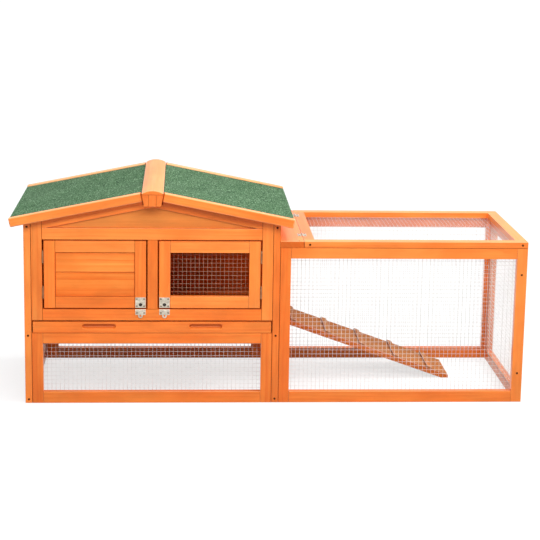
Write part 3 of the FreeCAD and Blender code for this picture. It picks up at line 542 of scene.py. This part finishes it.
def skin(mesh, rings):
    """Join rings of as many corners, and return the new faces."""
    made = set()
    for first, second in zip(rings, rings[1:]):
        for count in range(len(first)):
            after = (count + 1) % len(first)
            made.add(mesh.faces.new((first[count], first[after], second[after], second[count])))
    return made


def closed_skin(mesh, rings):
    """Join rings of as many corners into one closed shell."""
    skin(mesh, rings)
    mesh.faces.new(list(reversed(rings[0])))
    mesh.faces.new(rings[-1])


def extent(mesh):
    """The lowest and highest corner of a mesh."""
    return [Vector([pick(vert.co[axis] for vert in mesh.verts) for axis in range(3)]) for pick in (min, max)]


def across(axis):
    """An axis of unit length and two directions across it."""
    axis = Vector(axis).normalized()
    side = axis.orthogonal().normalized()
    return axis, side, axis.cross(side)


# Timber

def fills_box(mesh):
    """Whether a board lies square to the axes, so that its box is its shape."""
    low, high = extent(mesh)
    room = high - low
    return mesh.calc_volume() > BOX_SHARE * room.x * room.y * room.z


def within(place, box, slack):
    """Whether a place lies in a box or close to it."""
    return all(box[0][axis] - slack < place[axis] < box[1][axis] + slack for axis in range(3))


def meets(box, low, high, reach):
    """Whether a box comes within reach of another."""
    return all(box[0][axis] < high[axis] + reach and box[1][axis] > low[axis] - reach for axis in range(3))


def at_seam(face, near):
    """Whether the rounded edge of one board lies beside another board."""
    place = face.calc_center_median()
    for axis in range(3):
        if abs(face.normal[axis]) > LEANS_OUT:
            beside = place.copy()
            beside[axis] += math.copysign(SEAM_REACH, face.normal[axis])
            if any(within(beside, box, SEAM_SLACK) for box in near):
                return True
    return False


def grown(mesh, chance, narrow, seam_depth, shade):
    """Give a board grain along its longest edge, a place in the tree, a shade of stain and marked faces."""
    longest = max(mesh.edges, key=lambda edge: round(edge.calc_length(), 5))
    along = (longest.verts[1].co - longest.verts[0].co).normalized()
    side = Vector((0, 1, 0)) if abs(along.y) < LIES_ALONG else Vector((1, 0, 0))
    third = along.cross(side).normalized()
    fourth = along.cross(third)
    low, high = extent(mesh)
    centre = 0.5 * (low + high)
    turn = chance.uniform(0.0, 2.0 * math.pi)
    pith = chance.uniform(PITH_NEAR, PITH_FAR)
    shift = Vector((chance.uniform(-TREE_REACH, TREE_REACH), pith * math.cos(turn), pith * math.sin(turn)))
    drawn = (chance.random(), chance.random())
    tint, warm = shade or drawn
    others = [box for box in square_boards if (box[0] - low).length + (box[1] - high).length > SAME_BOARD]
    near = [box for box in others if meets(box, low, high, SEAM_REACH + SEAM_SLACK)]
    grain = mesh.verts.layers.float_vector["grain"]
    shades = mesh.verts.layers.float
    for vert in mesh.verts:
        off = vert.co - centre
        vert[grain] = Vector((off.dot(along), off.dot(third), off.dot(fourth))) + shift
        vert[shades["tint"]] = tint
        vert[shades["warm"]] = warm
    marks = mesh.faces.layers.float
    for face in mesh.faces:
        if face in narrow and at_seam(face, near):
            face[marks["seam_and_shade"]] = seam_depth
        elif face in narrow:
            # Rounded rims: wear, with a painted highlight on the upper ones
            face[marks["edge"]] = UPPER_WEAR_AND_HIGHLIGHT if face.normal.z > UPPER_RIM else LOWER_WEAR
        elif abs(face.normal.dot(along)) > END_FACE:
            face[marks["end"]] = 1.0
        # Tops high up get painted light; lower tops get painted shade
        elif face.normal.z > TOP_FACE and high.z > LIT_TOP_HEIGHT:
            face[marks["painted_top_light"]] = 1.0
        elif face.normal.z > TOP_FACE:
            face[marks["seam_and_shade"]] = INNER_TOP_SHADE


def slot_outline(length, tall):
    """Corners of a slot with round ends, from its left tip along its lower side and back along the upper."""
    radius = 0.5 * tall
    reach = 0.5 * length - radius
    turns = [0.5 * math.pi * step / SCOOP_STEPS for step in range(SCOOP_STEPS + 1)]
    lower = [(-reach - radius * math.cos(turn), -radius * math.sin(turn)) for turn in turns]
    lower += [(-x, z) for x, z in reversed(lower)]
    return lower + [(x, -z) for x, z in reversed(lower[1:-1])]


def scooped_board(node):
    """The tray's front: a board with two finger scoops, each deepest under its upper edge.

    Its front face is made of columns of four corners: the bottom, the lower and upper side of a scoop where
    there is one, and the top. At the tip of a scoop both sides are one corner.
    """
    low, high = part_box(node)
    floor = [vert.co for vert in nodes[node].data.vertices if low.y + MM < vert.co.y < high.y - MM]
    middle = 0.5 * (low.x + high.x)
    mesh = blank_board()

    def column(x):
        bottom = mesh.verts.new((x, low.y, low.z + EDGE_ROUND))
        return [bottom, None, None, mesh.verts.new((x, low.y, high.z - EDGE_ROUND))]

    columns = [column(low.x + EDGE_ROUND)]
    for group in ([spot for spot in floor if spot.x < middle], [spot for spot in floor if spot.x > middle]):
        xs = [spot.x for spot in group]
        zs = [spot.z for spot in group]
        centre = Vector((0.5 * (min(xs) + max(xs)), low.y, 0.5 * (min(zs) + max(zs))))
        rings = []
        for length, tall, rise, depth in SCOOP_RINGS:
            outline = slot_outline(length, tall)
            places = [(centre.x + x, centre.y + depth, centre.z + z + rise) for x, z in outline]
            rings.append([mesh.verts.new(place) for place in places])
        rim = rings[0]
        for step in range(len(rim) // 2 + 1):
            item = column(rim[step].co.x)
            item[1:3] = rim[step], rim[-step]
            columns.append(item)
        skin(mesh, rings)
        mesh.faces.new(rings[-1])
    columns.append(column(high.x - EDGE_ROUND))
    for left, right in zip(columns, columns[1:]):
        if left[1] and right[1] and (left[1] is not left[2] or right[1] is not right[2]):
            mesh.faces.new((left[0], right[0], right[1], left[1]))
            mesh.faces.new((left[2], right[2], right[3], left[3]))
        else:
            corners = [left[0], right[0], right[1], right[3], left[3], left[1]]
            mesh.faces.new([corner for corner in corners if corner])

    count = len(columns)
    front = [item[0] for item in columns] + [item[3] for item in reversed(columns)]
    sideways = {0: -1.0, count - 1: 1.0, count: 1.0, 2 * count - 1: -1.0}
    rims = [front]
    for out, y in ((EDGE_ROUND, low.y + EDGE_ROUND), (EDGE_ROUND, high.y - EDGE_ROUND), (0.0, high.y)):
        rim = []
        for index, corner in enumerate(front):
            x = corner.co.x + out * sideways.get(index, 0.0)
            z = corner.co.z + (out if index >= count else -out)
            rim.append(mesh.verts.new((x, y, z)))
        rims.append(rim)
    narrow = skin(mesh, rims[:2]) | skin(mesh, rims[2:])
    skin(mesh, rims[1:3])
    mesh.faces.new(rims[-1])
    bmesh.ops.recalc_face_normals(mesh, faces=mesh.faces)
    return mesh, narrow


def mark_faces(node, mesh):
    """Marks that come from a board's place in the hutch: painted shade where faces stand in shadow, painted
    highlights on pale rims and flush tops, and the ramp's stained sides.
    """
    low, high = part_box(node)
    edge = mesh.faces.layers.float["edge"]
    seam_and_shade = mesh.faces.layers.float["seam_and_shade"]
    depth, above = SHADED_FRONTS.get(node, (0.0, 0.0))
    for face in mesh.faces:
        normal = face.normal
        middle = face.calc_center_median()
        # Painted highlight on the back fascias' inner faces
        if node.endswith("_fascias") and normal.y < -FASCIA_BACK and middle.y > 0.0:
            face[edge] = UPPER_WEAR_AND_HIGHLIGHT
        # Painted shade in the finger scoops
        if node == SCOOPED and low.y + MM < middle.y < high.y - MM and abs(normal.z) < LIES_ALONG:
            face[seam_and_shade] = SCOOP_SHADE
        # Painted highlight on the flush tops' rims, in place of the seam's shade
        if node in FLUSH_TOPS and normal.z > LEANS_OUT and face[seam_and_shade]:
            face[seam_and_shade] = 0.0
            face[edge] = FLUSH_TOP_HIGHLIGHT
        # Painted shade on front faces in shadow and on the cleats' uphill sides
        if depth and normal.y < -LIES_ALONG and middle.z > above:
            face[seam_and_shade] = depth
        if node == "ramp_cleats" and normal.x < -CLEAT_BACK:
            face[seam_and_shade] = CLEAT_SHADE
        if node == "ramp_board" and normal.z < TOP_FACE:
            face.material_index = 1


def dress_timber(node):
    """Rebuild a timber node board by board."""
    chance = random.Random(node)
    chamfered = node.endswith("_boards")
    width = CHAMFER if chamfered else EDGE_ROUNDS.get(node, EDGE_ROUND)
    seam_depth = SOFT_SEAM_DEPTH if chamfered or node in SOFT_SEAMS else SEAM_DEPTH
    shades = SHADES.get(node, {})
    for index, board in enumerate(boards[node]):
        narrow = scooped if node == SCOOPED else rounded(board, width, 1 if chamfered else 2)
        grown(board, chance, narrow, seam_depth, shades.get(index))
    mesh = joined(boards[node])
    mark_faces(node, mesh)
    materials = [wood[slot_of[node]]]
    if node == "ramp_board":
        materials.append(ramp_stain)
    piece("wood_" + node, mesh, materials, body_of[node], [node])


# Felt, nets and steel

def dress_felt(node):
    """The felt sheet, its narrow edges dark."""
    mesh = joined(solids(node))
    rounded(mesh, FELT_ROUND)
    for face in mesh.faces:
        face.material_index = 0 if face.normal.z > FELT_TOP else 1
    piece("cover_" + node, mesh, [felt, felt_edge], body_of[node], [node])


def dress_metal(node, material, width):
    """Steel parts with rounded edges. The hinges in the gaps beside the doors get a darker steel, painted
    shade.
    """
    shells = solids(node)
    for shell in shells:
        rounded(shell, width)
        if node in HINGE_NODES and extent(shell)[1].y < DOOR_BACK:
            for face in shell.faces:
                face.material_index = 1
    materials = [material]
    if node in HINGE_NODES:
        materials.append(shaded_hinge_steel)
    piece("steel_" + node, joined(shells), materials, body_of[node], [node])


def tube(mesh, points, radius):
    """A thin round wire along a row of points."""
    turns = [2.0 * math.pi * count / WIRE_SIDES for count in range(WIRE_SIDES)]
    rings = []
    for index, point in enumerate(points):
        ahead = points[min(index + 1, len(points) - 1)] - points[max(index - 1, 0)]
        side, other = across(ahead)[1:]
        places = [point + radius * (math.cos(turn) * side + math.sin(turn) * other) for turn in turns]
        rings.append([mesh.verts.new(place) for place in places])
    closed_skin(mesh, rings)


def dress_net(node):
    """Welded half-inch mesh: one layer of wires laid across another, each a little off straight."""
    chance = random.Random(node)
    radius = FINE_WIRE_RADIUS if body_of[node] in FINE_NETS else WIRE_RADIUS
    steel = door_wire if body_of[node] == "right_door" else wire
    low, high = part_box(node)
    sides = high - low
    thin = min(range(3), key=lambda axis: sides[axis])
    first_axis, second_axis = [axis for axis in range(3) if axis != thin]
    mesh = bmesh.new()
    layers = ((first_axis, second_axis), (second_axis, first_axis))
    for (run, step), depth in zip(layers, WIRE_DEPTHS):
        count = int((sides[step] - NET_MARGIN) / WIRE_PITCH)
        start = low[step] + 0.5 * (sides[step] - count * WIRE_PITCH)
        bends = max(FEWEST_BENDS, int(sides[run] / BEND_PITCH))
        for row in range(count + 1):
            points = []
            for knot in range(bends + 1):
                place = Vector((0, 0, 0))
                place[run] = low[run] + WIRE_INSET + (sides[run] - 2.0 * WIRE_INSET) * knot / bends
                place[step] = start + row * WIRE_PITCH + chance.uniform(-WIRE_SWAY, WIRE_SWAY)
                place[thin] = low[thin] + depth + chance.uniform(-WIRE_LIFT, WIRE_LIFT)
                points.append(place)
            tube(mesh, points, radius)
    piece("net_" + node, mesh, [steel], body_of[node], [node], flat_faces=False)


def turned(mesh, centre, axis, rows):
    """A closed shell from rings, each given by its corners across an axis and a height along it."""
    axis, side, other = across(axis)
    rings = []
    for corners, up in rows:
        rings.append([mesh.verts.new(centre + x * side + y * other + up * axis) for x, y in corners])
    closed_skin(mesh, rings)


def circle(radius, corners=12):
    """Corners of a circle about an axis."""
    steps = [2.0 * math.pi * count / corners for count in range(corners)]
    return [(radius * math.cos(step), radius * math.sin(step)) for step in steps]


def screw(mesh, centre, axis, radius, height, shank=0.0, depth=0.0):
    """A pan head with a cross recess on a surface, over a shank where there is one."""
    slim = RECESS_SLIM * radius
    long = RECESS_LONG * radius
    cross = [(long, slim), (slim, slim), (slim, long),
             (-slim, long), (-slim, slim), (-long, slim),
             (-long, -slim), (-slim, -slim), (-slim, -long),
             (slim, -long), (slim, -slim), (long, -slim)]
    rows = [(circle(share * radius), up * height) for share, up in HEAD_RINGS]
    rows += [(cross, height), (cross, RECESS_FLOOR * height)]
    if shank:
        stem = circle(shank)
        rows = [(circle(TIP_SHARE * shank), -depth), (stem, -depth + TIP_LENGTH * shank), (stem, 0.0)] + rows
    turned(mesh, centre, axis, rows)


def dress_screws(node):
    """Driven screws seen by their heads, in place of the plain pins of the CAD."""
    mesh = bmesh.new()
    for shell in solids(node):
        low, high = extent(shell)
        shell.free()
        head = 0.5 * (high.x - low.x)
        face = Vector((0.5 * (low.x + high.x), low.y + SCREW_PROUD, 0.5 * (low.z + high.z)))
        screw(mesh, face, (0, -1, 0), head, SCREW_PROUD, SHANK_SHARE * head, high.y - face.y)
    piece("steel_" + node, mesh, [screw_steel], body_of[node], [node])


def plate_screws(name, body, places, axis):
    """The screws that hold a plate, heads only, since their shanks are in the timber."""
    mesh = bmesh.new()
    for place in places:
        screw(mesh, Vector(place), axis, SMALL_HEAD, SMALL_PROUD)
    piece(name, mesh, [small_screw], body)


def hasp_screws(side):
    """Screws in the corners of a hasp's plate and at the foot of its leaf."""
    low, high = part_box(side + "_hasp_plate")
    middle = 0.5 * (low.x + high.x)
    columns = (middle - PLATE_SCREW_ASIDE, middle + PLATE_SCREW_ASIDE)
    rows = (low.z + PLATE_SCREW_IN, high.z - PLATE_SCREW_IN)
    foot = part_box("hasp_leaves")[0].z + HASP_SCREW_UP
    plate_screws(f"screws_{side}_plate", side + "_door", [(x, low.y, z) for x in columns for z in rows],
                 (0, -1, 0))
    plate_screws(f"screws_{side}_leaf", "hutch", [(x, low.y, foot) for x in columns], (0, -1, 0))


def leaf_rows(low, high):
    """Where the screws of a front and a back hinge lie along their pins."""
    near, far = LEAF_SCREWS_IN
    return [low.y + near, low.y + far, high.y - far, high.y - near]


def lid_hinge_screws():
    """Screws on both sides of the lid's hinges."""
    low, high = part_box("lid_leaves")
    top = low.z + LEAF_THICK
    pin = low.x + BARREL
    rows = leaf_rows(low, high)
    plate_screws("screws_lid_moving", "lid", [(pin + LEAF_SCREW, y, top) for y in rows], (0, 0, 1))
    plate_screws("screws_lid_fixed", "hutch", [(pin - LEAF_SCREW, y, top) for y in rows], (0, 0, 1))


def ramp_hinge_screws():
    """Screws in the house wall and in the ramp, on both sides of the ramp's hinges."""
    low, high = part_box("ramp_leaves")
    pin = Vector((low.x + BARREL, 0.0, high.z - BARREL))
    rows = leaf_rows(low, high)
    wall = low.x - SEAT_GAP + LEAF_THICK
    plate_screws("screws_ramp_fixed", "hutch", [(wall, y, pin.z + LEAF_SCREW) for y in rows], (1, 0, 0))
    start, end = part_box("ramp_board")
    down = Vector((end.x - start.x, 0.0, start.z - end.z)).normalized()
    rise = Vector((-down.z, 0.0, down.x))
    seat = pin + LEAF_SCREW * down - (BARREL + SEAT_GAP - LEAF_THICK) * rise
    plate_screws("screws_ramp_moving", "ramp", [(seat.x, y, seat.z) for y in rows], rise)


def hinge_board_screws():
    """Dark screws that hold the run's fixed board to the rails below."""
    low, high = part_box("run_hinge_board")
    mesh = bmesh.new()
    for y in (low.y + BOARD_SCREW_IN, high.y - BOARD_SCREW_IN):
        place = Vector((high.x - BOARD_SCREW_ASIDE, y, high.z))
        screw(mesh, place, (0, 0, 1), SMALL_HEAD, BOARD_SCREW_PROUD)
    piece("screws_hinge_board", mesh, [screw_steel], "hutch")


def knob_flange(side):
    """The thin round foot of a turn knob, flat enough to pass under the strap."""
    low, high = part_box(side + "_turn_knob")
    foot = Vector((0.5 * (low.x + high.x), high.y, 0.5 * (low.z + high.z)))
    mesh = bmesh.new()
    turned(mesh, foot, (0, -1, 0), [(circle(radius, FLANGE_CORNERS), up) for radius, up in FLANGE_RINGS])
    piece(f"flange_{side}_knob", mesh, [dark_steel], side + "_knob")


boards = {node: solids(node) for node in sorted(nodes) if slot_of[node] in wood and node != SCOOPED}
tray_board, scooped = scooped_board(SCOOPED)
boards[SCOOPED] = [tray_board]
square_boards = [tuple(extent(mesh)) for group in boards.values() for mesh in group if fills_box(mesh)]
for node in boards:
    dress_timber(node)
for node in ("left_roof_felt", "right_roof_felt"):
    dress_felt(node)
for node in sorted(nodes):
    if slot_of[node] == "wire_mesh":
        dress_net(node)
    elif slot_of[node] == "zinc_steel":
        dress_metal(node, zinc, ZINC_ROUND)
    elif slot_of[node] == "dark_steel":
        dress_metal(node, dark_steel, DARK_STEEL_ROUND)
    elif slot_of[node] == "dark_screws":
        dress_screws(node)
hasp_screws("left")
hasp_screws("right")
lid_hinge_screws()
ramp_hinge_screws()
hinge_board_screws()
knob_flange("left")
knob_flange("right")


# Stage, light and camera

def make_floor():
    """A pale floor that is nearly white to the eye and throws little light back on the hutch."""
    data = bpy.data.meshes.new("floor")
    corners = [(x * FLOOR_REACH, y * FLOOR_REACH, 0) for x, y in ((-1, -1), (1, -1), (1, 1), (-1, 1))]
    data.from_pydata(corners, [], [(0, 1, 2, 3)])
    floor = bpy.data.objects.new("floor", data)
    bpy.context.scene.collection.objects.link(floor)
    floor.location.z = -FLOOR_DROP
    g = Graph("studio_floor")
    g.tree.nodes.remove(g.shader)
    path = g.add("ShaderNodeLightPath").outputs
    seen = g.math("MAXIMUM", path["Is Glossy Ray"], path["Is Transmission Ray"])
    seen = g.math("MAXIMUM", path["Is Camera Ray"], seen)
    paper = g.add("ShaderNodeBsdfDiffuse")
    g.link(g.mix(seen, FLOOR_BOUNCE, FLOOR_SEEN), paper.inputs["Color"])
    glow = g.add("ShaderNodeEmission")
    blend = g.add("ShaderNodeMixShader")
    g.link(g.math("MULTIPLY", seen, FLOOR_GLOW), blend.inputs[0])
    g.link(paper.outputs[0], blend.inputs[1])
    g.link(glow.outputs[0], blend.inputs[2])
    g.link(blend.outputs[0], g.tree.nodes["Material Output"].inputs["Surface"])
    data.materials.append(g.material)


def make_world():
    """A weak soft sky, white where it is seen or mirrored."""
    world = bpy.data.worlds.new("studio")
    bpy.context.scene.world = world
    world.use_nodes = True
    tree = world.node_tree
    soft = tree.nodes["Background"]
    soft.inputs["Color"].default_value = SKY_COLOUR
    soft.inputs["Strength"].default_value = SKY_STRENGTH
    white = tree.nodes.new("ShaderNodeBackground")
    white.inputs["Color"].default_value = WHITE
    white.inputs["Strength"].default_value = 1.0
    path = tree.nodes.new("ShaderNodeLightPath").outputs
    seen = path["Is Camera Ray"]
    for ray in ("Is Glossy Ray", "Is Transmission Ray"):
        either = tree.nodes.new("ShaderNodeMath")
        either.operation = "MAXIMUM"
        tree.links.new(seen, either.inputs[0])
        tree.links.new(path[ray], either.inputs[1])
        seen = either.outputs[0]
    blend = tree.nodes.new("ShaderNodeMixShader")
    tree.links.new(seen, blend.inputs[0])
    tree.links.new(soft.outputs[0], blend.inputs[1])
    tree.links.new(white.outputs[0], blend.inputs[2])
    tree.links.new(blend.outputs[0], tree.nodes["World Output"].inputs["Surface"])


def lamp(name, data, towards):
    """Put a lamp in the scene that shines from the given direction."""
    item = bpy.data.objects.new(name, data)
    bpy.context.scene.collection.objects.link(item)
    item.rotation_euler = towards.to_track_quat("Z", "Y").to_euler()
    return item


def sun(name, towards, strength, spread):
    """A broad far lamp, seen from the hutch in the given direction."""
    data = bpy.data.lights.new(name, "SUN")
    data.energy = strength
    data.angle = math.radians(spread)
    lamp(name, data, Vector(towards))


def softbox(name, place, target, size, power):
    """A rectangular lamp turned to a target."""
    data = bpy.data.lights.new(name, "AREA")
    data.shape = "RECTANGLE"
    data.size, data.size_y = size
    data.energy = power
    lamp(name, data, Vector(place) - Vector(target)).location = place


def make_camera():
    """The photograph's camera, from its heading, place and lens."""
    yaw, pitch, roll = CAMERA_TURN
    forward = Vector((math.sin(yaw) * math.cos(pitch), math.cos(yaw) * math.cos(pitch), math.sin(pitch)))
    level = Vector((math.cos(yaw), -math.sin(yaw), 0.0))
    upright = level.cross(forward)
    right = math.cos(roll) * level + math.sin(roll) * upright
    up = math.cos(roll) * upright - math.sin(roll) * level
    data = bpy.data.cameras.new("camera")
    data.sensor_width = CAMERA_SENSOR
    data.lens = CAMERA_LENS
    data.shift_y = CAMERA_SHIFT
    data.clip_end = CAMERA_FAR
    camera = bpy.data.objects.new("camera", data)
    bpy.context.scene.collection.objects.link(camera)
    turn = Matrix((right, up, -forward)).transposed()
    camera.matrix_world = Matrix.Translation(CAMERA_PLACE) @ turn.to_4x4()
    bpy.context.scene.camera = camera


make_floor()
make_world()
sun("key", (0.78, 0.03, 0.62), 2.4, 30.0)
sun("overhead", (0.0, 0.05, 1.0), 1.8, 60.0)
sun("front", (0.1, -0.77, 0.64), 0.55, 25.0)
sun("left", (-0.75, -0.2, 0.55), 0.25, 40.0)
softbox("front_strip", (0.3, -1.3, 1.5), (0.1, -0.25, 0.5), (3.4, 0.6), 30.0)
make_camera()
bpy.context.scene.view_settings.view_transform = "Standard"
